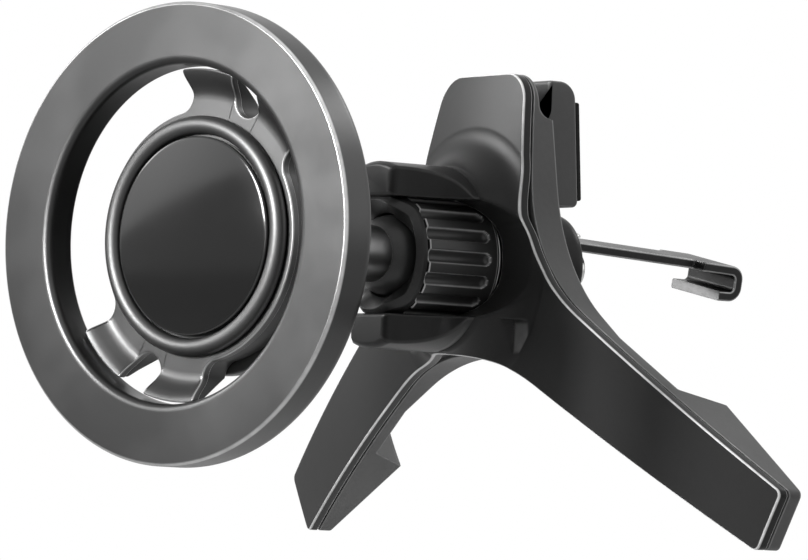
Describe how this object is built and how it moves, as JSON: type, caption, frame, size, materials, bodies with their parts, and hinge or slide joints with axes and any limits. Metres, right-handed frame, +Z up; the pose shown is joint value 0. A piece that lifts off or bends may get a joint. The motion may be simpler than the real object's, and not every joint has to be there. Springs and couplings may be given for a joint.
{
  "type": "car phone mount",
  "caption": "Magnetic ring phone mount for a car air vent: ring head on a ball-jointed stem, three-legged body, and a hook drawn in by a fluted thumbwheel.",
  "frame": {"origin": "on the barrel axis, in the plane of the three rubber foot pads that press on the vent", "axes": "+Y along the barrel axis into the vent, +Z up, +X to the right seen from the phone side"},
  "size_m": [0.112, 0.1012, 0.0649],
  "materials": {
    "gunmetal": "satin",
    "dark_plate": "satin",
    "hub_grey": "satin",
    "bezel_black": "satin",
    "gloss_black": "gloss",
    "bright_steel": "satin",
    "shell_black": "satin",
    "shell_grey": "satin",
    "wheel_black": "satin",
    "hook_grey": "satin",
    "rubber": "matte",
    "magnet_nickel": "gloss"
  },
  "bodies": {
    "base": {"front_cover": "shell_black", "rear_shell": "shell_grey", "hook_guide": "shell_black", "ball_socket": "shell_black", "thrust_washer": "bright_steel", "foot_pad_left": "rubber", "foot_pad_right": "rubber", "foot_pad_top": "rubber", "shell_screw_1": "bright_steel", "shell_screw_2": "bright_steel"},
    "ball": {"ball": "gunmetal"},
    "stem": {"stem": "gunmetal", "hub_screw": "bright_steel"},
    "head": {"head_ring": "gunmetal", "ring_back_cover": "dark_plate", "hub_plate": "hub_grey", "hub_bezel": "bezel_black", "hub_cap": "gloss_black", "magnet_1": "magnet_nickel", "magnet_2": "magnet_nickel", "magnet_3": "magnet_nickel", "magnet_4": "magnet_nickel", "magnet_5": "magnet_nickel", "magnet_6": "magnet_nickel", "magnet_7": "magnet_nickel", "magnet_8": "magnet_nickel"},
    "thumbwheel": {"thumbwheel": "wheel_black"},
    "hook": {"hook": "hook_grey", "hook_rod": "bright_steel", "hook_rivet": "bright_steel"}
  },
  "joints": [
    {"name": "ball_pan", "type": "hinge", "parent": "base", "child": "ball", "pos_m": [0, -0.02605, 0], "axis": [0, 0, 1], "range_deg": [-36, 4]},
    {"name": "stem_tilt", "type": "hinge", "parent": "ball", "child": "stem", "pos_m": [0, -0.02605, 0], "axis": [0.9613, 0.2756, 0], "range_deg": [-15, 15]},
    {"name": "head_spin", "type": "hinge", "parent": "stem", "child": "head", "pos_m": [0, -0.02605, 0], "axis": [0.2756, -0.9613, 0], "continuous": true},
    {"name": "wheel_spin", "type": "hinge", "parent": "base", "child": "thumbwheel", "pos_m": [0, 0, 0], "axis": [0, 1, 0], "range_deg": [-125, 965]},
    {"name": "hook_slide", "type": "slide", "parent": "base", "child": "hook", "axis": [0, 1, 0], "range_m": [-0.008, 0.001]}
  ],
  "couplings": [
    {"joint": "wheel_spin", "follows": "hook_slide", "rad_per_m": -2094.4}
  ]
}
